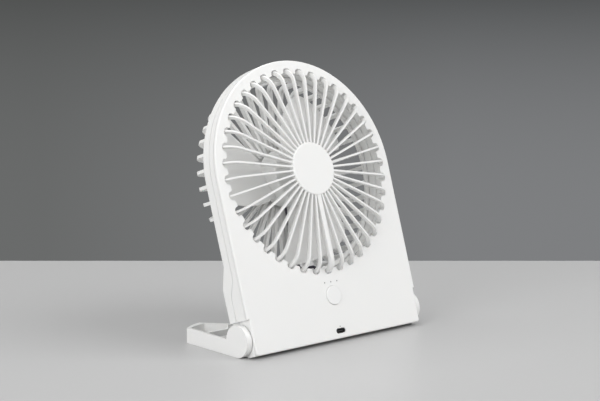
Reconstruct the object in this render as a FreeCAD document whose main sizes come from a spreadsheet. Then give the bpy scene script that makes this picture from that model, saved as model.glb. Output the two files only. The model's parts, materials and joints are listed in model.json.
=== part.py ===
import FreeCAD, Part
import math
import os
import re
import Sketcher

# Folding rechargeable desk fan: a flat arch-shaped housing that leans back on a hinged
# stand. Millimetres, +Z up, +Y away from the user. The housing parts share a frame at the
# centre of the fan: X across, Y into the housing (0 = front face), Z up along the face.

DEGREES = math.pi / 180
X_AXIS = FreeCAD.Vector(1, 0, 0)
Y_AXIS = FreeCAD.Vector(0, 1, 0)
Z_AXIS = FreeCAD.Vector(0, 0, 1)

SIZES = {
    # posture on the table
    "tilt_angle": 18, "foot_gap": 3.4, "origin_depth": 49.74, "fan_height": 128.8,
    # outline of the housing
    "arch_radius": 86, "side_half": 85.13, "panel_foot": 82.9, "panel_knee": 83.6,
    "recess_half": 83, "recess_height": 26.7, "wall": 1.8, "panel_thick": 2,
    "seam_gap": 0.25, "seam_high": 7.3, "seam_low": 13.3, "seam_upper": 57, "seam_lower": 45,
    "back_high": 15.8, "back_low": 21.2, "back_upper": 65, "back_lower": 52,
    "sole_start": 9.6, "sole_rise": 3.77,
    # front grille, moulded with the front cover
    "rib_count": 40, "rib_width": 1.4, "rib_wide": 3.8, "rib_rise": 7.4, "rib_depth": 3.2,
    "rib_bend": 11.5, "bend_start": 68, "opening_radius": 75.6, "notch_radius": 79.7,
    "notch_half": 3.3, "notch_round": 2.6, "tooth_round": 1.4, "disc_radius": 20.2,
    "disc_rise": 7.9,
    "disc_thick": 2.6, "disc_round": 0.8, "disc_skirt": 18.4,
    # air duct
    "duct_front": 79.2, "duct_wall": 1.6, "duct_split": 8.9, "duct_rear": 77.7,
    "duct_outer": 79.85, "duct_end": 18.7, "web_front": 5.4, "web_thick": 1.5,
    # rear grille
    "cage_radius": 77.5, "cage_depth": 38.9, "cage_corner": 6, "fin_depth": 4,
    "fin_width": 2.6, "fin_wide": 7.5, "plate_radius": 24, "plate_thick": 2.9,
    # impeller
    "blade_count": 3, "blade_angle": 53.2, "blade_sweep": -0.46, "blade_half": 32,
    "blade_taper": -0.17, "blade_mean": 45, "blade_depth": 25.4, "blade_pitch": 4.3,
    "blade_camber": 1.2, "blade_thick": 1.4, "blade_tip": 67.2, "blade_corner": 6,
    "boss_front": 11, "boss_radius": 22.5, "boss_back": 30.6, "boss_wall": 1.2,
    # motor
    "shaft_radius": 1.5, "bearing_radius": 4, "tube_radius": 5.5, "can_radius": 21.1,
    "magnet_radius": 20.2, "magnet_inner": 18.5, "stator_radius": 18, "tooth_count": 9,
    "motor_screw_ring": 8.2, "lead_radius": 1.1,
    # front controls
    "button_height": 32.6, "button_radius": 7.2, "button_rise": 0.9, "button_play": 0.15,
    "light_height": 42.9, "light_pitch": 6.2, "light_radius": 0.55,
    "charge_height": 8.9, "charge_radius": 0.45,
    "port_height": 5.7, "port_width": 8.9, "port_tall": 3.3, "port_play": 0.25,
    # electronics
    "board_front": 8, "board_thick": 1.6, "board_half": 73, "board_low": 2.9,
    "board_high": 43, "tray_half": 68, "tray_low": 7.3, "tray_high": 44.7,
    "tray_back": 19.2, "post_across": 70, "post_low": 11, "post_high": 39,
    "cell_half_long": 31.5, "cell_offset": 33.6, "cell_thick": 8,
    "screw_low": 33, "screw_high": 48.2, "screw_low_half": 77, "screw_high_half": 66,
    # hinge and stand, measured from the front edge of the housing
    "pivot_depth": 17, "pivot_height": 11.8, "head_radius": 11.8, "head_inner": 83.6,
    "arm_inner": 86, "arm_outer": 88.3, "arm_height": 11.5, "arm_end": 76,
    "pin_radius": 3, "pin_play": 0.05, "bush_radius": 5, "bush_inner_end": 75.5,
    "stand_centre": 132.6, "rim_radius": 84.5, "rim_wall": 2.3, "strap_radius": 96.5,
    "rim_height": 11.2, "strap_height": 3.6, "cell_wall": 64.3, "cell_wall_top": 8,
    "cell_floor": 2, "horn_half": 69.6, "pad_radius": 4, "pad_thick": 1,
}

doc = FreeCAD.newDocument("desk_fan")
sheet = doc.addObject("Spreadsheet::Sheet", "dims")
for row, (alias, number) in enumerate(SIZES.items(), start=1):
    sheet.set(f"A{row}", alias)
    sheet.set(f"B{row}", str(number))
    sheet.setAlias(f"B{row}", alias)
doc.recompute()

WORD = re.compile(r"[a-z]+(?:_[a-z]+)+|wall")


def bound(text):
    """The expression with every size name pointing at the spreadsheet."""
    return WORD.sub(lambda m: "dims." + m.group() if m.group() in SIZES else m.group(), text)


def value(text):
    return float(sheet.evalExpression(bound(text)))


TILT = FreeCAD.Rotation(X_AXIS, -value("tilt_angle"))
SLAB = FreeCAD.Placement(FreeCAD.Vector(0, -value("origin_depth"), value("foot_gap")), TILT)
HUB = SLAB.multiply(FreeCAD.Placement(FreeCAD.Vector(0, 0, value("fan_height")),
                                      FreeCAD.Rotation()))
TABLE = FreeCAD.Placement(FreeCAD.Vector(0, -value("origin_depth"), 0), FreeCAD.Rotation())


# the hinge axis seen in the housing's own frame: depth behind the face, height up it
PIVOT_IN = "pivot_depth * cos(tilt_angle) - (pivot_height - foot_gap) * sin(tilt_angle)"
PIVOT_UP = "pivot_depth * sin(tilt_angle) + (pivot_height - foot_gap) * cos(tilt_angle)"


# ---------------------------------------------------------------- drawing helpers

def new_body(name, placement):
    body = doc.addObject("PartDesign::Body", name)
    body.Label = name
    body.Placement = placement
    if "AllowCompound" in body.PropertiesList:
        body.AllowCompound = True
    return body


def new_sketch(body, plane, offset="0", axis=Z_AXIS, turn="0"):
    """Sketch on one of the body's own planes; offset runs along the plane's normal, and
    turn rotates the sketch about one of its own axes."""
    sketch = body.newObject("Sketcher::SketchObject", "Sketch")
    origin = [f for f in body.Origin.OriginFeatures if f.Role == plane][0]
    sketch.AttachmentSupport = [(origin, "")]
    sketch.MapMode = "FlatFace"
    sketch.AttachmentOffset = FreeCAD.Placement(FreeCAD.Vector(),
                                                FreeCAD.Rotation(axis, value(turn)))
    if offset != "0":
        sketch.setExpression("AttachmentOffset.Base.z", bound(offset))
    return sketch


def pin(sketch, axis, index, end, text):
    """Fix one coordinate of a sketch point to an expression."""
    if text == "0":
        sketch.addConstraint(Sketcher.Constraint("PointOnObject", index, end,
                                                 -2 if axis == "X" else -1))
        return
    number = sketch.addConstraint(Sketcher.Constraint("Distance" + axis, -1, 1, index, end,
                                                      value(text)))
    sketch.setExpression(f"Constraints[{number}]", bound(text))


def pin_radius(sketch, index, text):
    number = sketch.addConstraint(Sketcher.Constraint("Radius", index, value(text)))
    sketch.setExpression(f"Constraints[{number}]", bound(text))


def arc_centre(here, there, radius, turn):
    """Centre of the arc of a radius that turns left (1) or right (-1) between two points."""
    run = FreeCAD.Vector(there[0] - here[0], there[1] - here[1], 0)
    side = FreeCAD.Vector(-run.y, run.x, 0).normalize() * turn
    reach = math.sqrt(radius ** 2 - (run.Length / 2) ** 2)
    return FreeCAD.Vector(here[0], here[1], 0) + run * 0.5 + side * reach


def outline(sketch, corners, arcs=None):
    """Closed outline. A corner is (x, y) or (x, y, pinned axes); arcs maps the number of a
    corner to the arc that leaves it: (centre x, centre y, radius, turn), turn 1 = left.
    A centre of None is left to follow from the arc's two corners and its radius."""
    arcs = arcs or {}
    first = sketch.GeometryCount
    count = len(corners)
    spots = [(value(c[0]), value(c[1])) for c in corners]
    ends = []
    for number in range(count):
        here = spots[number]
        there = spots[(number + 1) % count]
        if number in arcs:
            cx, cy, radius, turn = arcs[number]
            centre = (arc_centre(here, there, value(radius), turn) if cx is None
                      else FreeCAD.Vector(value(cx), value(cy), 0))
            start = math.atan2(here[1] - centre.y, here[0] - centre.x)
            stop = math.atan2(there[1] - centre.y, there[0] - centre.x)
            circle = Part.Circle(centre, Z_AXIS, value(radius))
            if turn > 0:
                sketch.addGeometry(Part.ArcOfCircle(circle, start, stop), False)
                ends.append((1, 2))
            else:
                sketch.addGeometry(Part.ArcOfCircle(circle, stop, start), False)
                ends.append((2, 1))
        else:
            sketch.addGeometry(Part.LineSegment(FreeCAD.Vector(*here, 0),
                                                FreeCAD.Vector(*there, 0)), False)
            ends.append((1, 2))
    for number in range(count):
        after = (number + 1) % count
        sketch.addConstraint(Sketcher.Constraint("Coincident", first + number, ends[number][1],
                                                 first + after, ends[after][0]))
    for number, (cx, cy, radius, turn) in arcs.items():
        if cx is not None:
            pin(sketch, "X", first + number, 3, cx)
            pin(sketch, "Y", first + number, 3, cy)
        pin_radius(sketch, first + number, radius)
    for number, corner in enumerate(corners):
        pinned = corner[2] if len(corner) > 2 else "XY"
        for axis in pinned:
            pin(sketch, axis, first + number, ends[number][0],
                corner[0] if axis == "X" else corner[1])


def circle(sketch, x, y, radius):
    index = sketch.addGeometry(Part.Circle(FreeCAD.Vector(value(x), value(y), 0), Z_AXIS,
                                           value(radius)), False)
    pin(sketch, "X", index, 3, x)
    pin(sketch, "Y", index, 3, y)
    pin_radius(sketch, index, radius)


def box_outline(sketch, left, bottom, right, top):
    outline(sketch, [(left, bottom), (right, bottom), (right, top), (left, top)])


def slot_outline(sketch, x, y, half_long, half_tall):
    """Slot along X with round ends, half_long from its centre to each round end's centre."""
    left, right = f"{x} - ({half_long})", f"{x} + ({half_long})"
    low, high = f"{y} - ({half_tall})", f"{y} + ({half_tall})"
    outline(sketch, [(left, low, "X"), (right, low, "X"), (right, high, "X"),
                     (left, high, "X")],
            {1: (right, y, half_tall, 1), 3: (left, y, half_tall, 1)})


def arch(sketch, foot, knee, side, bottom, shoulder, radius):
    """Arch round the fan centre, stepped in beside the hinge up to the shoulder."""
    outline(sketch,
            [(f"-({foot})", bottom), (foot, bottom), (knee, shoulder), (side, shoulder),
             (radius, "0", "Y"), (f"-({radius})", "0", "Y"), (f"-({side})", shoulder),
             (f"-({knee})", shoulder)],
            {4: ("0", "0", radius, 1)})


def feature(body, kind, sketch, length=None, reverse=False, middle=False):
    """Pad or pocket of a sketch; without a length a pocket goes through everything."""
    made = body.newObject("PartDesign::" + kind, kind)
    made.Profile = sketch
    made.Reversed = reverse
    made.Midplane = middle
    if length is None:
        made.Type = "ThroughAll"
    else:
        made.setExpression("Length", bound(length))
    sketch.Visibility = False
    return made


def revolve(body, corners, kind="Revolution", arcs=None):
    """Turn a profile of (radius, depth) corners about the body's Y axis."""
    sketch = new_sketch(body, "XY_Plane")
    outline(sketch, corners, arcs)
    made = body.newObject("PartDesign::" + kind, kind)
    made.Profile = sketch
    made.ReferenceAxis = (sketch, ["V_Axis"])
    made.Angle = 360
    return made


def around(body, features, count):
    """Repeat features round the body's Y axis."""
    pattern = body.newObject("PartDesign::PolarPattern", "PolarPattern")
    pattern.Originals = features
    axis = [f for f in body.Origin.OriginFeatures if f.Role == "Y_Axis"][0]
    pattern.Axis = (axis, [""])
    pattern.Angle = 360
    pattern.setExpression("Occurrences", bound(count))
    body.Tip = pattern
    return pattern


def soften(body, radius, chosen, kind="Fillet"):
    """Round or chamfer the edges for which chosen(edge) holds."""
    doc.recompute()
    base = body.Tip
    names = [f"Edge{n}" for n, e in enumerate(base.Shape.Edges, start=1) if chosen(e)]
    made = body.newObject("PartDesign::" + kind, kind)
    made.Base = (base, names)
    made.setExpression("Radius" if kind == "Fillet" else "Size", bound(radius))
    body.Tip = made
    return made


def flat_at(edge, axis, level):
    """Whether the edge lies wholly in the plane axis = level."""
    points = [edge.valueAt(edge.FirstParameter + t * (edge.LastParameter - edge.FirstParameter))
              for t in (0, 0.37, 1)]
    return all(abs(getattr(p, axis) - level) < 1e-3 for p in points)


def ring(name, placement, inner, outer, front, back):
    """Plain ring or tube about the body's Y axis."""
    body = new_body(name, placement)
    revolve(body, [(inner, front), (outer, front), (outer, back), (inner, back)])
    return body


def height(text):
    """A height up the front face, seen from the centre of the fan."""
    return f"({text}) - fan_height"


# ---------------------------------------------------------------- front cover with grille

def foot_corner(edge):
    """Edges along the housing's depth at the two bottom corners."""
    return (edge.BoundBox.XLength < 1e-3 and edge.BoundBox.ZLength < 1e-3
            and abs(edge.BoundBox.ZMin - value(height("0"))) < 1e-3)


cover = new_body("front_cover", HUB)
sketch = new_sketch(cover, "XZ_Plane")
arch(sketch, "panel_foot", "panel_knee", "side_half", height("0"), height("recess_height"),
     "arch_radius")
feature(cover, "Pad", sketch, "panel_thick", reverse=True)
soften(cover, "2.2", foot_corner)
soften(cover, "1.1", lambda e: flat_at(e, "y", 0))

sketch = new_sketch(cover, "XZ_Plane")
circle(sketch, "0", "0", "opening_radius")
feature(cover, "Pocket", sketch, "panel_thick + 1")

# notch in the rim of the opening where a rib dives through the panel, with rounded teeth
# left between the notches
mouth = "sqrt(opening_radius ^ 2 - (notch_half + tooth_round) ^ 2)"
lip, flat = "(notch_half + tooth_round)", "(notch_half - notch_round)"
sketch = new_sketch(cover, "XZ_Plane")
outline(sketch, [(f"-{lip}", "opening_radius - 3"), (lip, "opening_radius - 3"),
                 (lip, mouth, "X"), ("notch_half", f"{mouth} + tooth_round", "Y"),
                 ("notch_half", "notch_radius - notch_round", "Y"),
                 (flat, "notch_radius", "X"), (f"-{flat}", "notch_radius", "X"),
                 ("-notch_half", "notch_radius - notch_round", "Y"),
                 ("-notch_half", f"{mouth} + tooth_round", "Y"), (f"-{lip}", mouth, "X")],
        {2: (lip, f"{mouth} + tooth_round", "tooth_round", -1),
         4: (flat, "notch_radius - notch_round", "notch_round", 1),
         6: (f"-{flat}", "notch_radius - notch_round", "notch_round", 1),
         8: (f"-{lip}", f"{mouth} + tooth_round", "tooth_round", -1)})
notch = feature(cover, "Pocket", sketch, "panel_thick + 1")
around(cover, [notch], "rib_count")

# collar behind the panel: the front half of the air duct, where the ribs end
revolve(cover, [("duct_front + 0.1", "panel_thick - 0.4"),
                ("duct_front + duct_wall", "panel_thick - 0.4"),
                ("duct_front + duct_wall", "duct_split - 0.1"),
                ("duct_front - 1.1", "duct_split - 0.1")])

# controls: power button, three speed lights, charging light and charging port
sketch = new_sketch(cover, "XZ_Plane")
circle(sketch, "0", height("button_height"), "button_radius + button_play")
for step in (-1, 0, 1):
    circle(sketch, f"{step} * light_pitch" if step else "0", height("light_height"),
           "light_radius")
circle(sketch, "0", height("charge_height"), "charge_radius")
slot_outline(sketch, "0", height("port_height"), "(port_width - port_tall) / 2",
             "port_tall / 2 + port_play")
feature(cover, "Pocket", sketch, "panel_thick + 1")

# flat centre disc with a skirt that takes the inner ends of the ribs
revolve(cover, [("0", "-disc_rise"), ("disc_radius - disc_round", "-disc_rise", "X"),
                ("disc_radius", "disc_round - disc_rise", "Y"),
                ("disc_radius", "rib_depth - rib_rise"),
                ("disc_skirt", "rib_depth - rib_rise"),
                ("disc_skirt", "disc_thick - disc_rise"), ("0", "disc_thick - disc_rise")],
        arcs={1: ("disc_radius - disc_round", "disc_round - disc_rise", "disc_round", 1)})


def rib_outline(sketch):
    """Fin with a flat front that bends down through a notch to the collar."""
    drop = "rib_bend - rib_rise"
    outline(sketch, [("disc_skirt - 0.4", "-rib_rise"), ("bend_start", "-rib_rise", "X"),
                     ("bend_start + rib_bend", drop, "Y"),
                     ("bend_start + rib_bend - rib_depth", drop, "Y"),
                     ("bend_start", "rib_depth - rib_rise", "X"),
                     ("disc_skirt - 0.4", "rib_depth - rib_rise")],
            {1: ("bend_start", drop, "rib_bend", 1),
             3: ("bend_start", drop, "rib_bend - rib_depth", -1)})


sketch = new_sketch(cover, "XY_Plane")
rib_outline(sketch)
rib = feature(cover, "Pad", sketch, "rib_width", middle=True)
around(cover, [rib], "rib_count")
sketch = new_sketch(cover, "XY_Plane", axis=Y_AXIS, turn="90")
rib_outline(sketch)
feature(cover, "Pad", sketch, "rib_wide", middle=True)

# ---------------------------------------------------------------- middle frame

def side_cut(body, corners):
    """Cut a side-view region right across the body; corners are (depth, height up)."""
    sketch = new_sketch(body, "YZ_Plane")
    outline(sketch, corners)
    return feature(body, "Pocket", sketch, "4 * arch_radius", middle=True)


def hinge_block(body, front, back):
    """Blocks inside both side walls that hold the hinge bushes."""
    for side in (-1, 1):
        sketch = new_sketch(body, "YZ_Plane", f"{side} * (bush_inner_end + 3.5)")
        box_outline(sketch, front, height("6.3"), back, height("20.3"))
        feature(body, "Pad", sketch, "recess_half - bush_inner_end - 1", middle=True)
    sketch = new_sketch(body, "YZ_Plane")
    circle(sketch, PIVOT_IN, height(PIVOT_UP), "bush_radius")
    feature(body, "Pocket", sketch, "4 * arch_radius", middle=True)


frame = new_body("middle_frame", HUB)
sketch = new_sketch(frame, "XZ_Plane", "-(panel_thick + seam_gap)")
arch(sketch, "recess_half", "recess_half", "side_half", height("0"), height("recess_height"),
     "arch_radius")
feature(frame, "Pad", sketch, "seam_low - panel_thick - seam_gap", reverse=True)
sketch = new_sketch(frame, "XZ_Plane")
arch(sketch, "recess_half - wall", "recess_half - wall", "side_half - wall",
     height("wall"), height("recess_height + wall"), "arch_radius - wall")
feature(frame, "Pocket", sketch)
side_cut(frame, [("seam_high", "2 * arch_radius"), ("seam_high", height("seam_upper")),
                 ("seam_low", height("seam_lower")), ("seam_low", height("-9")),
                 ("2 * back_low", height("-9")), ("2 * back_low", "2 * arch_radius")])
sole = [("sole_start", height("0")), ("back_low", height("sole_rise")),
        ("back_low", height("-9")), ("sole_start", height("-9"))]
side_cut(frame, sole)

# web with a window for the electronics, open to the duct where the motor lead passes
sketch = new_sketch(frame, "XZ_Plane", "-web_front")
arch(sketch, "recess_half - wall / 2", "recess_half - wall / 2", "side_half - wall / 2",
     height("wall / 2"), height("recess_height + wall / 2"), "arch_radius - wall / 2")
circle(sketch, "0", "0", "duct_front + duct_wall + 0.25")
box_outline(sketch, "-board_half - 0.6", height("wall"), "board_half + 0.6",
            height("board_high + 4"))
feature(frame, "Pad", sketch, "web_thick", reverse=True)
sketch = new_sketch(frame, "XZ_Plane")
box_outline(sketch, "-16", height("board_high"), "16", height("board_high + 8"))
feature(frame, "Pocket", sketch)
screws_at = [("screw_low_half", "screw_low"), ("screw_high_half", "screw_high")]
sketch = new_sketch(frame, "XZ_Plane", "-web_front")
for across, up in screws_at:
    for side in ("", "-"):
        circle(sketch, side + across, height(up), "3.1")
feature(frame, "Pad", sketch, "9.9 - web_front", reverse=True)
sketch = new_sketch(frame, "XZ_Plane", "-(web_front + 1)")
for across, up in screws_at:
    for side in ("", "-"):
        circle(sketch, side + across, height(up), "1.2")
feature(frame, "Pocket", sketch, "9")
hinge_block(frame, "seam_high", "seam_low - 0.1")

# ---------------------------------------------------------------- rear shell

shell = new_body("rear_shell", HUB)
sketch = new_sketch(shell, "XZ_Plane", "-(seam_high + seam_gap)")
arch(sketch, "recess_half", "recess_half", "side_half", height("0"), height("recess_height"),
     "arch_radius")
feature(shell, "Pad", sketch, "back_low - seam_high - seam_gap", reverse=True)
side_cut(shell, [("back_high", "2 * arch_radius"), ("back_high", height("back_upper")),
                 ("back_low", height("back_lower")), ("back_low", height("-9")),
                 ("2 * back_low", height("-9")), ("2 * back_low", "2 * arch_radius")])
side_cut(shell, sole)
soften(shell, "1.6", lambda e: flat_at(e, "y", value("back_high"))
       and e.BoundBox.XLength > 100 and e.BoundBox.ZLength > 50)
side_cut(shell, [("seam_high + seam_gap", height("seam_upper")),
                 ("seam_low + seam_gap", height("seam_lower")),
                 ("seam_low + seam_gap", height("-9")), ("-9", height("-9")),
                 ("-9", height("seam_upper"))])
sketch = new_sketch(shell, "XZ_Plane")
arch(sketch, "recess_half - wall", "recess_half - wall", "side_half - wall",
     height("3.9"), height("recess_height + wall"), "arch_radius - wall")
feature(shell, "Pocket", sketch, "back_high - wall")
sketch = new_sketch(shell, "XZ_Plane")
box_outline(sketch, "wall - recess_half", height("6"), "recess_half - wall", height("50"))
feature(shell, "Pocket", sketch, "back_low - wall")
sketch = new_sketch(shell, "XZ_Plane")
circle(sketch, "0", "0", "duct_outer - 1")
feature(shell, "Pocket", sketch)
revolve(shell, [("duct_rear", "duct_split + 0.1"), ("duct_outer", "duct_split + 0.1"),
                ("duct_outer", "duct_end - 0.6"), ("duct_outer - 0.6", "duct_end"),
                ("duct_rear", "duct_end")])

# screw bosses, countersunk from behind, and the slot where the motor lead leaves the duct
for radius, front, kind in (("3.1", "10", "Pad"), ("1.25", "9", "Pocket"),
                            ("2.7", "17.9", "Pocket")):
    sketch = new_sketch(shell, "XZ_Plane", f"-({front})")
    for across, up in screws_at:
        for side in ("", "-"):
            circle(sketch, side + across, height(up), radius)
    if kind == "Pad":
        feature(shell, kind, sketch, f"back_low - 0.5 - {front}", reverse=True)
    else:
        feature(shell, kind, sketch, "14")
sketch = new_sketch(shell, "XZ_Plane", "-11")
box_outline(sketch, "-2.4", "-duct_outer - 1", "2.4", "1 - duct_rear")
feature(shell, "Pocket", sketch, "3.8")
hinge_block(shell, "seam_low + seam_gap + 0.1", "back_low - 1")

# ---------------------------------------------------------------- rear grille

def motor_screw_circles(sketch, radius):
    """The three motor screws, one below the shaft and two above it."""
    circle(sketch, "0", "-motor_screw_ring", radius)
    for side in (-1, 1):
        circle(sketch, f"{side} * motor_screw_ring * cos(30)", "motor_screw_ring / 2", radius)


cage = new_body("rear_grille", HUB)
fin_inner = "cage_radius - fin_depth"
ring_in, ring_out = f"{fin_inner} + 0.5", "cage_radius - 0.3"
revolve(cage, [(ring_in, "duct_end - 2.4"), (ring_out, "duct_end - 2.4"),
               (ring_out, "duct_end - 0.2"), (ring_in, "duct_end - 0.2")])
revolve(cage, [("0", "cage_depth - plate_thick"),
               ("plate_radius", "cage_depth - plate_thick"),
               ("plate_radius", "cage_depth - 1", "Y"), ("plate_radius - 1", "cage_depth", "X"),
               ("0", "cage_depth")],
        arcs={2: ("plate_radius - 1", "cage_depth - 1", "1", 1)})


def fin_outline(sketch):
    """Fin along the wall of the cage, round its corner and in to the motor plate."""
    corner_r, corner_d = "cage_radius - cage_corner", "cage_depth - cage_corner"
    outline(sketch, [("cage_radius", "duct_end - 1.2"), ("cage_radius", corner_d, "Y"),
                     (corner_r, "cage_depth", "X"), ("plate_radius - 1.5", "cage_depth"),
                     ("plate_radius - 1.5", "cage_depth - fin_depth"),
                     (corner_r, "cage_depth - fin_depth", "X"),
                     (fin_inner, corner_d, "Y"), (fin_inner, "duct_end - 1.2")],
            {1: (corner_r, corner_d, "cage_corner", 1),
             5: (corner_r, corner_d, "cage_corner - fin_depth", -1)})


sketch = new_sketch(cage, "XY_Plane")
fin_outline(sketch)
fin = feature(cage, "Pad", sketch, "fin_width", middle=True)
around(cage, [fin], "rib_count")
sketch = new_sketch(cage, "XY_Plane", axis=Y_AXIS, turn="90")
fin_outline(sketch)
feature(cage, "Pad", sketch, "fin_wide", middle=True)
sketch = new_sketch(cage, "XZ_Plane", "-(cage_depth + 1)")
motor_screw_circles(sketch, "1.3")
circle(sketch, "-1.6", "-18", "1.7")
feature(cage, "Pocket", sketch, "9", reverse=True)
sketch = new_sketch(cage, "XZ_Plane", "-(cage_depth + 1)")
motor_screw_circles(sketch, "2.5")
feature(cage, "Pocket", sketch, "2.8", reverse=True)

# ---------------------------------------------------------------- motor

bearing_tube = new_body("bearing_tube", HUB)
plate_front = "cage_depth - plate_thick"
revolve(bearing_tube, [("bearing_radius", "15.6"), ("tube_radius", "15.6"),
                       ("tube_radius", f"{plate_front} - 1.6"),
                       ("11", f"{plate_front} - 1.6"), ("11", plate_front),
                       ("bearing_radius", plate_front), ("bearing_radius", "30.1"),
                       ("bearing_radius - 0.8", "29.7"), ("bearing_radius - 0.8", "20.4"),
                       ("bearing_radius", "20")])
sketch = new_sketch(bearing_tube, "XZ_Plane", f"-({plate_front} + 1)")
motor_screw_circles(sketch, "1.0")
feature(bearing_tube, "Pocket", sketch, "5", reverse=True)
front_bearing = ring("front_bearing", HUB, "shaft_radius + 0.02", "bearing_radius", "16", "19.9")
rear_bearing = ring("rear_bearing", HUB, "shaft_radius + 0.02", "bearing_radius", "30.2",
                    "34.1")

motor_screws = new_body("motor_screws", HUB)
for radius, front, back in (("1", "33.4", "37.4"), ("2.4", "37.2", "38.6")):
    sketch = new_sketch(motor_screws, "XZ_Plane", f"-({front})")
    motor_screw_circles(sketch, radius)
    feature(motor_screws, "Pad", sketch, f"{back} - {front}", reverse=True)

core = new_body("stator_core", HUB)
revolve(core, [("tube_radius", "17.5"), ("9", "17.5"), ("9", "25.5"), ("tube_radius", "25.5")])
sketch = new_sketch(core, "XY_Plane", "-1.6")
box_outline(sketch, "8.6", "17.5", "16.6", "25.5")
tooth = feature(core, "Pad", sketch, "3.2")
sketch = new_sketch(core, "XY_Plane", "-4.8")
box_outline(sketch, "15.8", "17.5", "17.2", "25.5")
shoe = feature(core, "Pad", sketch, "9.6")
around(core, [tooth, shoe], "tooth_count")

coils = new_body("stator_coils", HUB)
sketch = new_sketch(coils, "YZ_Plane", "9.9")
box_outline(sketch, "15.9", "-2.9", "27.1", "2.9")
box_outline(sketch, "17.4", "-1.7", "25.6", "1.7")
coil = feature(coils, "Pad", sketch, "5.7")
around(coils, [coil], "tooth_count")

motor_board = ring("motor_board", HUB, "tube_radius", "17", "31.2", "32.4")

# ---------------------------------------------------------------- rotor

rotor_can = new_body("rotor_can", HUB)
revolve(rotor_can, [("4.2", "12.5"), ("can_radius", "12.5"), ("can_radius", "29.4"),
                    ("can_radius - 0.8", "29.4"), ("can_radius - 0.8", "13.4"),
                    ("4.2", "13.4")])
magnet_ring = ring("magnet_ring", HUB, "magnet_inner", "magnet_radius", "14.6", "28.6")
rotor_shaft = ring("rotor_shaft", HUB, "0", "shaft_radius", "12.6", "35.2")
clip = ring("shaft_clip", HUB, "shaft_radius", "2.9", "34.3", "34.8")


def blade_point(radius, across):
    """Point at a radius, across -1 to 1 over the blade's width, as (x, z)."""
    reach = radius - value("blade_mean")
    angle = (value("blade_sweep") * reach
             + across * (value("blade_half") + value("blade_taper") * reach)) * DEGREES
    return radius * math.cos(angle), radius * math.sin(angle)


def blade_depth_at(x, z):
    """Depth of the blade's middle surface; its leading side is nearer the front."""
    radius = math.hypot(x, z)
    reach = radius - value("blade_mean")
    angle = math.atan2(z, x) / DEGREES - value("blade_sweep") * reach
    across = angle / (value("blade_half") + value("blade_taper") * reach)
    return (value("blade_depth") - value("blade_pitch") * across
            - value("blade_camber") * (1 - across ** 2))


def blade_sheet():
    """Twisted sheet of the blade's thickness, larger than the blade itself."""
    wires = []
    half = value("blade_thick") / 2
    for x in (17, 28, 40, 52, 64, 72):
        spread = [max(-1.25, min(1.25, s)) * 0.95 * x if x < 40 else s * 44 for s in
                  (-1.2, -0.8, -0.4, 0, 0.4, 0.8, 1.2)]
        front = [FreeCAD.Vector(x, blade_depth_at(x, z) - half, z) for z in spread]
        back = [FreeCAD.Vector(x, blade_depth_at(x, z) + half, z) for z in spread]
        lower, upper = Part.BSplineCurve(), Part.BSplineCurve()
        lower.interpolate(front)
        upper.interpolate(back)
        wires.append(Part.Wire([lower.toShape(), Part.LineSegment(front[-1], back[-1]).toShape(),
                                upper.toShape(), Part.LineSegment(back[0], front[0]).toShape()]))
    return Part.makeLoft(wires, True, False)


def blade_plan():
    """Outline of one blade seen along the axis, as a solid prism."""
    tip, inner = value("blade_tip"), value("boss_radius") - 1
    corner = value("blade_corner")
    radii = [inner + (tip - corner - inner) * n / 5 for n in range(6)]
    lead = [FreeCAD.Vector(x, 0, z) for x, z in (blade_point(r, 1) for r in radii)]
    trail = [FreeCAD.Vector(x, 0, z) for x, z in (blade_point(r, -1) for r in radii)]
    rim = [FreeCAD.Vector(x, 0, z) for x, z in
           (blade_point(tip, s) for s in (0.86, 0.45, 0, -0.45, -0.86))]
    nose = [blade_point(tip - 1.4, s) for s in (0.965, -0.965)]
    shoulder = [FreeCAD.Vector(x, 0, z) for x, z in nose]
    curve = Part.BSplineCurve()
    curve.interpolate(lead + [shoulder[0]] + rim + [shoulder[1]] + trail[::-1])
    root = Part.LineSegment(trail[0], lead[0]).toShape()
    face = Part.Face(Part.Wire([curve.toShape(), root]))
    return face.extrude(FreeCAD.Vector(0, 2 * value("cage_depth"), 0))


def impeller_shape():
    front, back = value("boss_front"), value("boss_back")
    radius, wall = value("boss_radius"), value("boss_wall")
    cup = Part.makeCylinder(radius, back - front, FreeCAD.Vector(0, front, 0), Y_AXIS)
    rim = [e for e in cup.Edges if abs(e.BoundBox.YMax - front) < 1e-6]
    cup = cup.makeFillet(1.5, rim)
    cup = cup.cut(Part.makeCylinder(radius - wall, back, FreeCAD.Vector(0, front + wall, 0),
                                    Y_AXIS))
    boss = Part.makeCylinder(4, 4, FreeCAD.Vector(0, front + wall / 2, 0), Y_AXIS)
    bore = Part.makeCylinder(value("shaft_radius"), 9, FreeCAD.Vector(0, 12.6, 0), Y_AXIS)
    hub_shape = cup.fuse(boss).cut(bore)
    blade = blade_sheet().common(blade_plan()).Solids[0]
    blade = blade.cut(Part.makeCylinder(radius - wall / 2, 60, FreeCAD.Vector(0, 0, 0), Y_AXIS))
    blades = []
    for number in range(int(value("blade_count"))):
        turned = blade.copy()
        turned.rotate(FreeCAD.Vector(), Y_AXIS,
                      -value("blade_angle") - 360 / value("blade_count") * number)
        blades.append(turned)
    return hub_shape.multiFuse(blades)


def plain_part(name, shape, placement):
    """Sub-part whose shape is made directly, then put in its place."""
    made = doc.addObject("Part::Feature", name)
    made.Label = name
    made.Shape = shape
    made.Placement = placement
    return made


impeller = plain_part("impeller", impeller_shape(), HUB)

# ---------------------------------------------------------------- wiring

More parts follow.
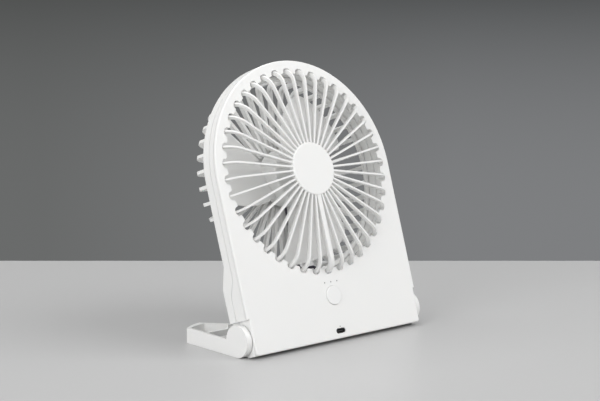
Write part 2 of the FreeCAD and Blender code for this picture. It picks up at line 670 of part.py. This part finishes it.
def tube(points, bends, radius):
    """Round tube along straight runs joined by tangent arcs, one bend radius per corner."""
    edges = []
    start = points[0]
    for number, bend in enumerate(bends, start=1):
        corner = points[number]
        before = (points[number - 1] - corner).normalize()
        after = (points[number + 1] - corner).normalize()
        half = before.getAngle(after) / 2
        reach = bend / math.tan(half)
        first, last = corner + before * reach, corner + after * reach
        middle = (before + after).normalize()
        crest = corner + middle * (bend / math.sin(half) - bend)
        edges.append(Part.LineSegment(start, first).toShape())
        edges.append(Part.Arc(first, crest, last).toShape())
        start = last
    edges.append(Part.LineSegment(start, points[-1]).toShape())
    path = Part.Wire(edges)
    circle_edge = Part.Circle(points[0], points[1] - points[0], radius).toShape()
    swept = path.makePipeShell([Part.Wire(circle_edge)], True, False)
    expected = math.pi * radius ** 2 * path.Length
    assert abs(swept.Volume - expected) < 0.01 * expected, "tube volume"
    return swept


def spot(depth, up, across=0):
    return FreeCAD.Vector(across, depth, up)


lead_path = [spot(33.5, -15.2), spot(33.5, -71.6), spot(12.9, -71.6), spot(12.9, -82.6),
             spot(12.9, -82.6, 12), spot(6.3, -82.6, 12), spot(6.3, -91.2, 12)]
motor_lead = plain_part("motor_lead", tube(lead_path, [6, 4.5, 2.9, 2.9, 2.9],
                                           value("lead_radius")), HUB)
motor_plug = new_body("motor_plug", HUB)
sketch = new_sketch(motor_plug, "XZ_Plane", "-4.7")
box_outline(sketch, "8.4", "-96.4", "15.6", "-91.2")
feature(motor_plug, "Pad", sketch, "board_front - 4.7", reverse=True)

# ---------------------------------------------------------------- electronics

board = new_body("control_board", HUB)
sketch = new_sketch(board, "XZ_Plane", "-board_front")
box_outline(sketch, "-board_half", height("board_low"), "board_half", height("board_high"))
feature(board, "Pad", sketch, "board_thick", reverse=True)
posts_at = [(side + "post_across", up) for side in ("", "-") for up in ("post_low", "post_high")]
sketch = new_sketch(board, "XZ_Plane", "0")
for across, up in posts_at:
    circle(sketch, across, height(up), "1.2")
feature(board, "Pocket", sketch)

tray = new_body("battery_tray", HUB)
tray_front = "(board_front + board_thick)"
sketch = new_sketch(tray, "XZ_Plane", f"-({tray_front})")
box_outline(sketch, "-tray_half", height("tray_low"), "tray_half", height("tray_high"))
feature(tray, "Pad", sketch, f"tray_back - {tray_front}", reverse=True)
sketch = new_sketch(tray, "XZ_Plane", f"-({tray_front})")
for across, up in posts_at:
    circle(sketch, across, height(up), "2.3")
feature(tray, "Pad", sketch, f"tray_back - {tray_front}", reverse=True)
sketch = new_sketch(tray, "XZ_Plane", "0")
for side in (-1, 1):
    box_outline(sketch, f"{side} * cell_offset - cell_half_long - 0.2",
                height("tray_low + 1"), f"{side} * cell_offset + cell_half_long + 0.2",
                height("tray_high - 1"))
feature(tray, "Pocket", sketch, "tray_back - 0.8")
sketch = new_sketch(tray, "XZ_Plane", "0")
for across, up in posts_at:
    circle(sketch, across, height(up), "1.0")
feature(tray, "Pocket", sketch, "tray_back - 1.5")

board_screws = new_body("board_screws", HUB)
for radius, front, back in (("1.9", "board_front - 1.2", "board_front"),
                            ("1.0", "board_front", "16")):
    sketch = new_sketch(board_screws, "XZ_Plane", f"-({front})")
    for across, up in posts_at:
        circle(sketch, across, height(up), radius)
    feature(board_screws, "Pad", sketch, f"{back} - ({front})", reverse=True)

cells = []
for name, side in (("battery_cell_left", -1), ("battery_cell_right", 1)):
    cell_body = new_body(name, HUB)
    sketch = new_sketch(cell_body, "XZ_Plane", "-(tray_back - 0.9 - cell_thick)")
    box_outline(sketch, f"{side} * cell_offset - cell_half_long", height("tray_low + 1.2"),
                f"{side} * cell_offset + cell_half_long", height("tray_high - 1.2"))
    feature(cell_body, "Pad", sketch, "cell_thick", reverse=True)
    soften(cell_body, "2.4", lambda e: e.BoundBox.YLength < 1e-3 and e.BoundBox.XLength < 1e-3)
    cells.append(cell_body)

port = new_body("usb_c_socket", HUB)
half_flat = "(port_width - port_tall) / 2"
sketch = new_sketch(port, "XZ_Plane", "-0.5")
slot_outline(sketch, "0", height("port_height"), half_flat, "port_tall / 2")
feature(port, "Pad", sketch, "board_front - 0.5", reverse=True)
sketch = new_sketch(port, "XZ_Plane")
slot_outline(sketch, "0", height("port_height"), half_flat, "port_tall / 2 - 0.35")
feature(port, "Pocket", sketch, "6.6")
sketch = new_sketch(port, "XZ_Plane", "-1.3")
box_outline(sketch, "-3.3", height("port_height - 0.35"), "3.3", height("port_height + 0.35"))
feature(port, "Pad", sketch, "6", reverse=True)

switch = new_body("button_switch", HUB)
sketch = new_sketch(switch, "XZ_Plane", "-5.2")
box_outline(sketch, "-3", height("button_height - 3"), "3", height("button_height + 3"))
feature(switch, "Pad", sketch, "board_front - 5.2", reverse=True)

lights = new_body("indicator_lights", HUB)
sketch = new_sketch(lights, "XZ_Plane", "-0.15")
for step in (-1, 0, 1):
    circle(sketch, f"{step} * light_pitch" if step else "0", height("light_height"),
           "light_radius - 0.05")
feature(lights, "Pad", sketch, "7.6", reverse=True)
charge_light = new_body("charge_light", HUB)
sketch = new_sketch(charge_light, "XZ_Plane", "-0.15")
circle(sketch, "0", height("charge_height"), "charge_radius - 0.05")
feature(charge_light, "Pad", sketch, "board_front - 0.15", reverse=True)

housing_screws = new_body("housing_screws", HUB)
for radius, front, back in (("1.2", "7", "17.9"), ("2.5", "17.9", "19.6")):
    sketch = new_sketch(housing_screws, "XZ_Plane", f"-({front})")
    for across, up in screws_at:
        for side in ("", "-"):
            circle(sketch, side + across, height(up), radius)
    feature(housing_screws, "Pad", sketch, f"{back} - {front}", reverse=True)

# ---------------------------------------------------------------- power button

button = new_body("power_button", HUB)
sketch = new_sketch(button, "XZ_Plane", "button_rise")
circle(sketch, "0", height("button_height"), "button_radius")
feature(button, "Pad", sketch, "button_rise + 2.9", reverse=True)
soften(button, "0.5", lambda e: flat_at(e, "y", -value("button_rise")))
sketch = new_sketch(button, "XZ_Plane", "-2.3")
circle(sketch, "0", height("button_height"), "button_radius + 1.1")
feature(button, "Pad", sketch, "0.8", reverse=True)
sketch = new_sketch(button, "XZ_Plane", "-2.9")
circle(sketch, "0", height("button_height"), "1.6")
feature(button, "Pad", sketch, "1.2", reverse=True)

# ---------------------------------------------------------------- hinge

def pair(name, inner, outer, start, end):
    """The same ring on the pivot axis at both sides of the housing."""
    body = new_body(name, TABLE)
    for side in (-1, 1):
        sketch = new_sketch(body, "YZ_Plane", f"{side} * (({start}) + ({end})) / 2")
        circle(sketch, "pivot_depth", "pivot_height", outer)
        if inner != "0":
            circle(sketch, "pivot_depth", "pivot_height", inner)
        feature(body, "Pad", sketch, f"({end}) - ({start})", middle=True)
    return body


bushes = pair("hinge_bushes", "pin_radius + pin_play", "bush_radius", "bush_inner_end",
              "recess_half")
pins = pair("hinge_pins", "0", "pin_radius", "74.4", "87")
washers = pair("friction_washers", "pin_radius", "8", "recess_half + 0.1", "head_inner")
clips = pair("hinge_clips", "pin_radius", "bush_radius", "74.6", "bush_inner_end - 0.1")

# ---------------------------------------------------------------- stand

stand = new_body("stand_frame", TABLE)
centre = "stand_centre"
wall_radius = "rim_radius + rim_wall"
sketch = new_sketch(stand, "XY_Plane")
outline(sketch, [("68.2", "cell_wall", "Y"), ("arm_outer", "cell_wall"),
                 ("arm_outer", "arm_end"), ("horn_half", "arm_end + 8.68", "X"),
                 ("-horn_half", "arm_end + 8.68", "X"), ("-arm_outer", "arm_end"),
                 ("-arm_outer", "cell_wall"), ("-68.2", "cell_wall", "Y")],
        {2: (None, None, "40", 1), 3: ("0", centre, "rim_radius", -1),
         4: (None, None, "40", 1), 7: ("0", centre, "strap_radius", 1)})
feature(stand, "Pad", sketch, "rim_height")

# triangular cells in the rear corners, open upwards, with a lower front wall
for side in (1, -1):
    sketch = new_sketch(stand, "XY_Plane", "rim_height + 2")
    outline(sketch, [(f"{side} * 56", "cell_wall + 2", "Y"),
                     (f"{side} * arm_inner", "cell_wall + 2"),
                     (f"{side} * arm_inner", "arm_end - 1.6"),
                     (f"{side} * (horn_half - 0.6)", "79.9", "X")],
            {2: (None, None, "38", side), 3: ("0", centre, wall_radius, -side)})
    feature(stand, "Pocket", sketch, "rim_height + 2 - cell_floor")
    sketch = new_sketch(stand, "XY_Plane", "rim_height + 2")
    box_outline(sketch, f"{side} * 58", "cell_wall - 1", f"{side} * arm_inner",
                "cell_wall + 2.01")
    feature(stand, "Pocket", sketch, "rim_height + 2 - cell_wall_top")

# thin strap in front of the rim, and the rim itself sinking to the strap in the middle
sketch = new_sketch(stand, "XY_Plane", "rim_height + 2")
outline(sketch, [("53.6", "cell_wall", "Y"), ("80", "cell_wall"), ("80", "20"), ("-80", "20"),
                 ("-80", "cell_wall"), ("-53.6", "cell_wall", "Y")],
        {5: ("0", centre, wall_radius, 1)})
feature(stand, "Pocket", sketch, "rim_height + 2 - strap_height")
sketch = new_sketch(stand, "XZ_Plane")
outline(sketch, [("-46", "strap_height"), ("46", "strap_height"), ("55", "rim_height"),
                 ("60", "rim_height + 4"), ("-60", "rim_height + 4"), ("-55", "rim_height")])
feature(stand, "Pocket", sketch, "4 * strap_radius", middle=True)

# side arms with round heads on the pivot, bored for the pins from the inside
for side in (1, -1):
    sketch = new_sketch(stand, "YZ_Plane", f"{side} * (arm_inner + arm_outer) / 2")
    box_outline(sketch, "pivot_depth", "0", "arm_end", "arm_height")
    feature(stand, "Pad", sketch, "arm_outer - arm_inner", middle=True)
    sketch = new_sketch(stand, "YZ_Plane", f"{side} * (head_inner + arm_outer) / 2")
    circle(sketch, "pivot_depth", "pivot_height", "head_radius")
    feature(stand, "Pad", sketch, "arm_outer - head_inner", middle=True)
for side in (1, -1):
    sketch = new_sketch(stand, "YZ_Plane", f"{side} * 87")
    circle(sketch, "pivot_depth", "pivot_height", "pin_radius")
    feature(stand, "Pocket", sketch, "8", reverse=side < 0)


def under_pads(body, kind, offset, radius, length):
    sketch = new_sketch(body, "XY_Plane", offset)
    for side in ("", "-"):
        circle(sketch, side + "77", "70.6", radius)
        circle(sketch, side + "24", "45.3", radius)
    feature(body, kind, sketch, length)


under_pads(stand, "Pocket", "pad_thick", "pad_radius", "pad_thick + 1")
stand_pads = new_body("stand_pads", TABLE)
under_pads(stand_pads, "Pad", "0", "pad_radius - 0.05", "pad_thick")

# ---------------------------------------------------------------- check and export

parts = [cover, frame, shell, cage, bearing_tube, front_bearing, rear_bearing, motor_screws,
         core, coils, motor_board, rotor_can, magnet_ring, rotor_shaft, clip, impeller,
         motor_lead, motor_plug, board, tray, board_screws, *cells, port, switch, lights,
         charge_light, housing_screws, button, bushes, pins, washers, clips, stand, stand_pads]
doc.recompute()
for item in doc.Objects:
    assert not {"Invalid", "Error"} & set(item.State), (item.Name, item.State)
os.makedirs("parts", exist_ok=True)
whole = FreeCAD.BoundBox()
for piece in parts:
    assert not piece.Shape.isNull() and piece.Shape.isValid(), piece.Label
    piece.Shape.exportStep(f"parts/{piece.Label}.step")
    whole.add(piece.Shape.BoundBox)
    print(f"{piece.Label:20s} {len(piece.Shape.Solids):3d} solids {piece.Shape.Volume:12.1f} mm3")
print("size", [round(v, 2) for v in (whole.XLength, whole.YLength, whole.ZLength)],
      "y", round(whole.YMin, 2), round(whole.YMax, 2), "z", round(whole.ZMin, 2))
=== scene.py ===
# %% [markdown]
# # A white folding desk fan: finishes and light
#
# The fan comes from a CAD model in metres, with every piece already in its place: the front
# cover with its forty ribs, the impeller, the rear grille, the hinged stand and all that is
# inside. Those shapes are right, so nothing here is moved or resized. What is left for us is
# what CAD cannot give: how satin white plastic takes light, the fine texture on each
# material, and a soft studio that shows them.
#
# We load the model first and count its pieces.

# %% Load the frame
import bpy
import json
import math
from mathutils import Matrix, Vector

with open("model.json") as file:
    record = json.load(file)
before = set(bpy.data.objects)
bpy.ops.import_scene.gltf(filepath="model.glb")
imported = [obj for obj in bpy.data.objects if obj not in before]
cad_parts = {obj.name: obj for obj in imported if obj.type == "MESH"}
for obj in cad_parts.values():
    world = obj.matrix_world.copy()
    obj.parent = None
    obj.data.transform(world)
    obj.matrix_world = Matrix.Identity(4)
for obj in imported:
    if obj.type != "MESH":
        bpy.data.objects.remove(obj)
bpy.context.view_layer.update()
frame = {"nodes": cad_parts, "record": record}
nodes = frame["nodes"]
print("nodes:", len(nodes))


# %% [markdown]
# ## A small kit for materials
#
# Each finish below is a tree of nodes. The node editor shows such a tree as boxes and wires;
# in a script the same calls would repeat many times and hide the idea. So first come four
# helpers: one that makes a material with a Principled shader, one that adds a node and wires
# it, one that brings a pattern into a range, and one that mixes two colours.
#
# Every material is kept in `finishes` under the name of the slot that it fills. All patterns
# use object coordinates, which are metres on every piece of the fan. That way a grain keeps
# its real size from piece to piece, and no piece needs a UV map.

# %% Start a material
finishes = {}


def new_material(name):
    """Start a finish with a Principled shader, and give back its node tree and shader."""
    material = bpy.data.materials.new(name)
    material.use_nodes = True
    tree = material.node_tree
    tree.nodes.clear()
    output = tree.nodes.new("ShaderNodeOutputMaterial")
    shader = tree.nodes.new("ShaderNodeBsdfPrincipled")
    tree.links.new(shader.outputs["BSDF"], output.inputs["Surface"])
    finishes[name] = material
    return tree, shader


# %% Add and wire a node
def feed(tree, socket, source):
    """Link the socket to another node's output, or set it to a plain value."""
    if isinstance(source, bpy.types.NodeSocket):
        tree.links.new(source, socket)
    else:
        socket.default_value = source


def add(tree, kind, inputs=None, **settings):
    """Make a node, give it its settings and feed its inputs."""
    node = tree.nodes.new("ShaderNode" + kind)
    for key, setting in settings.items():
        setattr(node, key, setting)
    for key, source in (inputs or {}).items():
        feed(tree, node.inputs[key], source)
    return node


# %% Ranges and colour mixes
# The Mix node keeps its colour sockets behind the ones for numbers and vectors.
MIX_FIRST, MIX_SECOND, MIX_RESULT = 6, 7, 2


def mapped(tree, pattern, low, high):
    """Bring a pattern that runs from 0 to 1 into the range from low to high."""
    node = add(tree, "MapRange", {"Value": pattern, "To Min": low, "To Max": high})
    return node.outputs["Result"]


def blend_colour(tree, factor, first, second):
    """Mix two colours, each an RGBA value or the output of another node."""
    node = add(tree, "Mix", data_type="RGBA")
    tree.links.new(factor, node.inputs["Factor"])
    feed(tree, node.inputs[MIX_FIRST], first)
    feed(tree, node.inputs[MIX_SECOND], second)
    return node.outputs[MIX_RESULT]


def rgba(red, green, blue):
    return (red, green, blue, 1)


# %% [markdown]
# ## White plastic with a spark-eroded grain
#
# The housing, the stand and the impeller are injection-moulded. The mould is spark-eroded,
# so the surface is a field of very small pits, about a third of a millimetre apart. One pit
# is too small to see, but together they turn the reflection into a wide, soft sheen. A plain
# rough shader gets the width of that sheen right and still looks dead, because nothing in it
# varies. So the pits are bump, made from Voronoi cells with a noise laid over them, and the
# roughness drifts a little over centimetres, as the flow in the mould leaves it. A second
# drift of the roughness, over a millimetre, stands for dust and handling.
#
# Moulded edges are never sharp. A Bevel node rounds the shading of an edge without touching
# the mesh, and this gives a thin rib the bright line along its edge. A little subsurface
# scattering lets light creep into the thin ribs, because white plastic is not quite opaque.

# %% Define moulded plastic
PIT_SPACING = 0.00032
PIT_DEPTH = 0.00001
EDGE_ROUNDING = 0.0004
FLOW_SCALE = 22.0
DUST_SCALE = 900.0
FLOW_DRIFT = 0.05
DUST_DRIFT = 0.03
NOISE_PER_PIT = 0.6
print("pits", 1000 * PIT_SPACING, "mm apart, edges rounded by", 1000 * EDGE_ROUNDING, "mm")


def moulded_plastic(name, colour, shade, roughness=0.42, grain=PIT_SPACING,
                    edge=EDGE_ROUNDING):
    tree, shader = new_material(name)
    coords = add(tree, "TexCoord").outputs["Object"]
    pits = add(tree, "TexVoronoi", {"Vector": coords, "Scale": 1 / grain}, feature="F1")
    fine = add(tree, "TexNoise", {"Vector": coords, "Scale": NOISE_PER_PIT / grain,
                                  "Detail": 3.0})
    flow = add(tree, "TexNoise", {"Vector": coords, "Scale": FLOW_SCALE, "Detail": 2.0})
    dust = add(tree, "TexNoise", {"Vector": coords, "Scale": DUST_SCALE, "Detail": 4.0})
    drift = mapped(tree, flow.outputs["Fac"], -FLOW_DRIFT, FLOW_DRIFT)
    worn = mapped(tree, dust.outputs["Fac"], roughness - DUST_DRIFT, roughness + DUST_DRIFT)
    rough = add(tree, "Math", {0: drift, 1: worn}, operation="ADD")
    surface = add(tree, "Math", {0: pits.outputs["Distance"], 1: fine.outputs["Fac"]},
                  operation="ADD")
    corner = add(tree, "Bevel", {"Radius": edge}, samples=4)
    bump = add(tree, "Bump", {"Height": surface.outputs["Value"], "Distance": PIT_DEPTH,
                              "Strength": 0.35, "Normal": corner.outputs["Normal"]})
    tint = blend_colour(tree, mapped(tree, flow.outputs["Fac"], 0.2, 0.8), colour, shade)
    tree.links.new(tint, shader.inputs["Base Color"])
    tree.links.new(rough.outputs["Value"], shader.inputs["Roughness"])
    tree.links.new(bump.outputs["Normal"], shader.inputs["Normal"])
    shader.inputs["IOR"].default_value = 1.5
    shader.inputs["Specular IOR Level"].default_value = 0.4
    shader.inputs["Subsurface Weight"].default_value = 0.06
    shader.inputs["Subsurface Radius"].default_value = (0.004, 0.0035, 0.003)
    shader.inputs["Subsurface Scale"].default_value = 0.3


# %% [markdown]
# ### The plastics that show
#
# All five are the same white, but not quite alike on the real fan. The impeller comes from
# another mould: it is smoother and a shade darker, which keeps the blades apart from the
# ribs in front of them. The ribs and the stand have rounder edges than the housing. The
# power button is polished a little by fingers, with a finer grain. Each colour has a second
# shade that the flow pattern blends in, so no surface is one flat value.

# %% Make the outer plastics
moulded_plastic("shell_white", rgba(0.86, 0.86, 0.85), rgba(0.83, 0.83, 0.82))
moulded_plastic("grille_white", rgba(0.85, 0.85, 0.84), rgba(0.82, 0.82, 0.81), edge=0.0005)
moulded_plastic("impeller_white", rgba(0.76, 0.76, 0.75), rgba(0.73, 0.73, 0.72),
                roughness=0.34)
moulded_plastic("stand_white", rgba(0.86, 0.86, 0.85), rgba(0.83, 0.83, 0.82), edge=0.0006)
moulded_plastic("button_white", rgba(0.86, 0.86, 0.855), rgba(0.84, 0.84, 0.835),
                roughness=0.36, grain=0.00025)
print("outer plastics:", sorted(finishes))

# %% [markdown]
# ### The plastics inside
#
# The battery tray, the switch, the plug of the motor's lead and the bushes and washers of
# the hinge are seen only through gaps, if at all. They still get the same grain, because it
# costs nothing and a bare colour would show at once in a section view. Their moulds are
# plainer, so they are rougher.

# %% Make the inner plastics
moulded_plastic("inner_white", rgba(0.72, 0.72, 0.70), rgba(0.68, 0.68, 0.66), roughness=0.5)
moulded_plastic("inner_black", rgba(0.018, 0.018, 0.019), rgba(0.026, 0.026, 0.027),
                roughness=0.55)
moulded_plastic("nylon", rgba(0.70, 0.70, 0.66), rgba(0.66, 0.66, 0.62), roughness=0.5)
print("plastics so far:", len(finishes))


# %% [markdown]
# ## Metals
#
# Metal shows in a few small places: the screw heads at the back, the shell of the charging
# inlet and, through the grille, a glimpse of the motor. Turned and drawn metal carries fine
# lines along the way it was worked. A noise that is drawn out along one axis makes such
# lines, and the same pattern serves three times, for bump, for roughness and for a slight
# dulling of the colour. Using one pattern for all three is what makes a scratch look like
# one scratch.

# %% Define worked metal
LINE_DEPTH = 0.00001
LINE_DULLING = 0.8
LINE_DRIFT = 0.08
print("working lines", 1000 * LINE_DEPTH, "mm deep")


def metal(name, colour, roughness, stretch=(600.0, 40.0, 600.0)):
    tree, shader = new_material(name)
    coords = add(tree, "TexCoord").outputs["Object"]
    scaled = add(tree, "Mapping", {"Vector": coords, "Scale": stretch})
    lines = add(tree, "TexNoise", {"Vector": scaled.outputs["Vector"], "Scale": 4.0,
                                   "Detail": 4.0}).outputs["Fac"]
    bump = add(tree, "Bump", {"Height": lines, "Distance": LINE_DEPTH, "Strength": 0.3})
    dulled = rgba(*(LINE_DULLING * channel for channel in colour))
    tree.links.new(blend_colour(tree, lines, rgba(*colour), dulled),
                   shader.inputs["Base Color"])
    tree.links.new(mapped(tree, lines, roughness - LINE_DRIFT, roughness + LINE_DRIFT),
                   shader.inputs["Roughness"])
    tree.links.new(bump.outputs["Normal"], shader.inputs["Normal"])
    shader.inputs["Metallic"].default_value = 1.0


# %% [markdown]
# Bright steel goes to the shaft, the bearing tube, the rotor can and the hinge pins. The
# bearings, the screws, the clips and the shell of the inlet are of darkened steel. The
# stator is a stack of thin sheets, so its noise is squeezed along the motor's axis instead.
# The copper's lines run up and down, and the foil of the battery cells is softly uneven.

# %% Make the metals
metal("steel", (0.60, 0.60, 0.61), 0.30)
metal("dark_steel", (0.10, 0.10, 0.105), 0.38)
metal("laminations", (0.36, 0.36, 0.37), 0.45, stretch=(30.0, 900.0, 30.0))
metal("copper", (0.62, 0.27, 0.12), 0.34, stretch=(500.0, 500.0, 40.0))
metal("cell_foil", (0.62, 0.63, 0.65), 0.42, stretch=(60.0, 60.0, 60.0))
print("finishes so far:", len(finishes))


# %% [markdown]
# ## Rubber, ferrite, circuit board and lights
#
# What these have in common is a fine, even speckle: filler in the rubber pads, grains in the
# pressed magnet, the weave under the green lacquer of the boards, the cloudy plastic of the
# small lights. One noise per material does for colour, roughness and bump. Only its size,
# its depth and the two colours differ.

# %% Define speckled materials
SPECKLE_DEPTH = 0.00002
SPECKLE_DRIFT = 0.06
print("speckle", 1000 * SPECKLE_DEPTH, "mm deep")


def speckled(name, colour, fleck, roughness, size, depth=SPECKLE_DEPTH):
    tree, shader = new_material(name)
    coords = add(tree, "TexCoord").outputs["Object"]
    cloud = add(tree, "TexNoise", {"Vector": coords, "Scale": 1 / size,
                                   "Detail": 5.0}).outputs["Fac"]
    bump = add(tree, "Bump", {"Height": cloud, "Distance": depth, "Strength": 0.5})
    tree.links.new(blend_colour(tree, cloud, colour, fleck), shader.inputs["Base Color"])
    tree.links.new(mapped(tree, cloud, roughness - SPECKLE_DRIFT, roughness + SPECKLE_DRIFT),
                   shader.inputs["Roughness"])
    tree.links.new(bump.outputs["Normal"], shader.inputs["Normal"])


# %% Make the speckled materials
speckled("magnet", rgba(0.035, 0.034, 0.036), rgba(0.06, 0.058, 0.06), 0.6, 0.0006)
speckled("board_green", rgba(0.006, 0.06, 0.022), rgba(0.012, 0.09, 0.035), 0.35, 0.0012)
speckled("lead_sheath", rgba(0.022, 0.018, 0.032), rgba(0.035, 0.03, 0.05), 0.45, 0.0008)
speckled("pad_rubber", rgba(0.26, 0.26, 0.26), rgba(0.32, 0.32, 0.32), 0.75, 0.0005)
speckled("light_clear", rgba(0.16, 0.16, 0.17), rgba(0.24, 0.24, 0.25), 0.25, 0.002,
         depth=0.000005)
print("finishes:", len(finishes))


# %% [markdown]
# ## Every piece gets its finish
#
# The record that came with the model says, for each piece, which material slot it has. So
# the slot's name is all we need to look up the finish. The shape of each piece stays as it
# is, and only what its mesh slots hold is changed.

# %% Finish the pieces
for entry in frame["record"]["subparts"]:
    for mesh_slot in nodes[entry["node"]].material_slots:
        mesh_slot.material = finishes[entry["material_slot"]]


# %% [markdown]
# ## The camera
#
# The fan is seen from the front left and a little from above, through a long lens from just
# over a metre away. A long lens keeps the upright edges almost parallel. The camera does not
# roll, so it is enough to give its place and the direction that it looks in. Clipping starts
# at five centimetres, so the camera can also be moved in close without cutting the fan.

# %% Set up the camera
camera_data = bpy.data.cameras.new("camera")
camera_data.lens = 90
camera_data.sensor_width = 36
camera_data.clip_start = 0.05
camera = bpy.data.objects.new("camera", camera_data)
bpy.context.collection.objects.link(camera)
camera.location = (-0.7505, -0.84724, 0.2729)
heading = Vector((0.6563, 0.7395, -0.1495))
camera.rotation_mode = "QUATERNION"
camera.rotation_quaternion = heading.to_track_quat("-Z", "Y")
bpy.context.scene.camera = camera
print("camera to fan:", round(camera.location.length, 3), "m")


# %% [markdown]
# ## The table and the wall
#
# The fan stands on a pale laminate table in front of a grey wall. The far edge of the table
# runs straight and level across the view, so the table is turned to face the camera
# squarely, and its far edge is placed by distance.

# %% Lay the table and stand up the wall
straight_on = heading.to_2d().normalized()
turn = math.atan2(-straight_on.x, straight_on.y)


def flat_piece(name, width, depth, where, lean=0.0):
    """Flat sheet that faces the camera's heading; lean stands it up."""
    bpy.ops.mesh.primitive_grid_add(x_subdivisions=8, y_subdivisions=8, size=1)
    piece = bpy.context.object
    piece.name = name
    piece.scale = (width, depth, 1)
    piece.rotation_euler = (lean, 0, turn)
    piece.location = where
    return piece


def ahead(distance, z):
    """Point at a distance straight ahead of the camera, at height z."""
    spot = camera.location.to_2d() + straight_on * distance
    return (spot.x, spot.y, z)


table_width = 8
table_far = 1.417
table_near = -0.6
wall_width = 9
wall_height = 5
wall_centre = 0.6
wall_distance = 2.6

table = flat_piece("table", table_width, table_far - table_near,
                   ahead((table_far + table_near) / 2, 0))
wall = flat_piece("wall", wall_width, wall_height, ahead(wall_distance, wall_centre),
                  lean=math.pi / 2)
print("table edge", table_far, "m and wall", wall_distance, "m ahead of the camera")


# %% [markdown]
# The table top is laminate: pale grey, very faintly mottled, and with enough sheen to hold
# a soft reflection of the fan. Two noises do this. The slow one tints the colour over a few
# decimetres, and the fast one varies the roughness over millimetres. The mesh of the sheet
# is one unit across before it is scaled, so here the scale of a noise counts its waves over
# the whole sheet, not over a metre.

# %% Finish the table
table_smooth = 0.38
table_rough = 0.52

tree, shader = new_material("table_top")
coords = add(tree, "TexCoord").outputs["Object"]
mottle = add(tree, "TexNoise", {"Vector": coords, "Scale": 9.0, "Detail": 3.0})
grain = add(tree, "TexNoise", {"Vector": coords, "Scale": 1500.0, "Detail": 2.0})
tint = blend_colour(tree, mottle.outputs["Fac"], rgba(0.50, 0.50, 0.50),
                    rgba(0.52, 0.52, 0.52))
tree.links.new(tint, shader.inputs["Base Color"])
tree.links.new(mapped(tree, grain.outputs["Fac"], table_smooth, table_rough),
               shader.inputs["Roughness"])
shader.inputs["Specular IOR Level"].default_value = 0.35
table.data.materials.append(finishes["table_top"])
print("table roughness from", table_smooth, "to", table_rough)


# %% [markdown]
# All that shows of the wall is a slow fall of light: brighter low on the right, darker
# towards the top. We could aim another lamp at it, but that lamp would also light the fan.
# So the wall is black paint that glows by itself, with a gradient that follows its height
# and width.
#
# The heights below are measured from the table top, and the two sides from the middle of
# the wall. The wall's mesh is also one unit across before it is scaled, so each of them is
# divided by the wall's size. The power makes the dark start late and then grow quickly.

# %% Finish the wall
bright_height = -0.225
dark_height = 0.2275
left_side = -0.45
right_side = 0.27
fall_power = 2.7

# The wall's light is painted: its glow stands in for lamp light, brighter low on the right
# and darker towards the top.
tree, shader = new_material("wall_painted_glow")
coords = add(tree, "TexCoord").outputs["Object"]
axes = add(tree, "SeparateXYZ", {"Vector": coords})
rise = add(tree, "MapRange", {"Value": axes.outputs["Y"],
                              "From Min": (bright_height - wall_centre) / wall_height,
                              "From Max": (dark_height - wall_centre) / wall_height})
darkening = add(tree, "Math", {0: rise.outputs["Result"], 1: fall_power}, operation="POWER")
side = add(tree, "MapRange", {"Value": axes.outputs["X"],
                              "From Min": left_side / wall_width,
                              "From Max": right_side / wall_width}).outputs["Result"]
low = blend_colour(tree, side, rgba(0.143, 0.147, 0.146), rgba(0.208, 0.213, 0.219))
high = blend_colour(tree, side, rgba(0.086, 0.089, 0.088), rgba(0.094, 0.098, 0.100))
fall = blend_colour(tree, darkening.outputs["Value"], low, high)
tree.links.new(fall, shader.inputs["Emission Color"])
shader.inputs["Emission Strength"].default_value = 1.0
shader.inputs["Base Color"].default_value = rgba(0, 0, 0)
shader.inputs["Roughness"].default_value = 1.0
shader.inputs["Specular IOR Level"].default_value = 0.0
wall.data.materials.append(finishes["wall_painted_glow"])
print("wall darkens over", round(dark_height - bright_height, 3), "m of its height")


# %% [markdown]
# ## Soft light
#
# White plastic shows its shape only in small differences of grey, so the light is soft and
# comes from three sides in different amounts. The main softbox hangs in front and to the
# right and makes the front face the brightest plane. A panel on the left has about the same
# power but hangs further away. It keeps the side of the housing only a little darker than
# the front, and it reaches the far wall of the air duct. A panel above and behind brightens
# the top of the arch and throws the narrow, soft shadow that lies on the table in front of
# the base. The size of an area light sets how soft its shadows are. These are all about a
# metre across, so no shadow has a hard edge.

# %% Hang the softboxes
aim = Vector((0, 0, 0.1))


def softbox(name, where, size, watts):
    data = bpy.data.lights.new(name, "AREA")
    data.shape = "RECTANGLE"
    data.size, data.size_y = size
    data.energy = watts
    lamp = bpy.data.objects.new(name, data)
    bpy.context.collection.objects.link(lamp)
    lamp.location = where
    lamp.rotation_mode = "QUATERNION"
    lamp.rotation_quaternion = (aim - Vector(where)).to_track_quat("-Z", "Y")
    print(name, watts, "W,", round((aim - Vector(where)).length, 2), "m from the fan")


softbox("main_softbox", (0.6, -1.05, 1.2), (1.2, 1.0), 14)
softbox("left_panel", (-1.7, -0.35, 0.75), (1.2, 1.2), 15)
softbox("top_panel", (0.0, 0.55, 1.4), (1.2, 0.8), 9)

# %% [markdown]
# The rest is the glow of a white room, which fills the shadows inside the grille. The
# Standard view transform shows the whites as they are, where a filmic one would grey them.

# %% Fill the room with light
world = bpy.data.worlds.new("room")
world.use_nodes = True
background = world.node_tree.nodes["Background"]
background.inputs["Color"].default_value = rgba(1, 1, 1)
background.inputs["Strength"].default_value = 0.52
bpy.context.scene.world = world
bpy.context.scene.view_settings.view_transform = "Standard"
bpy.context.scene.view_settings.look = "None"
print("room glow:", background.inputs["Strength"].default_value)
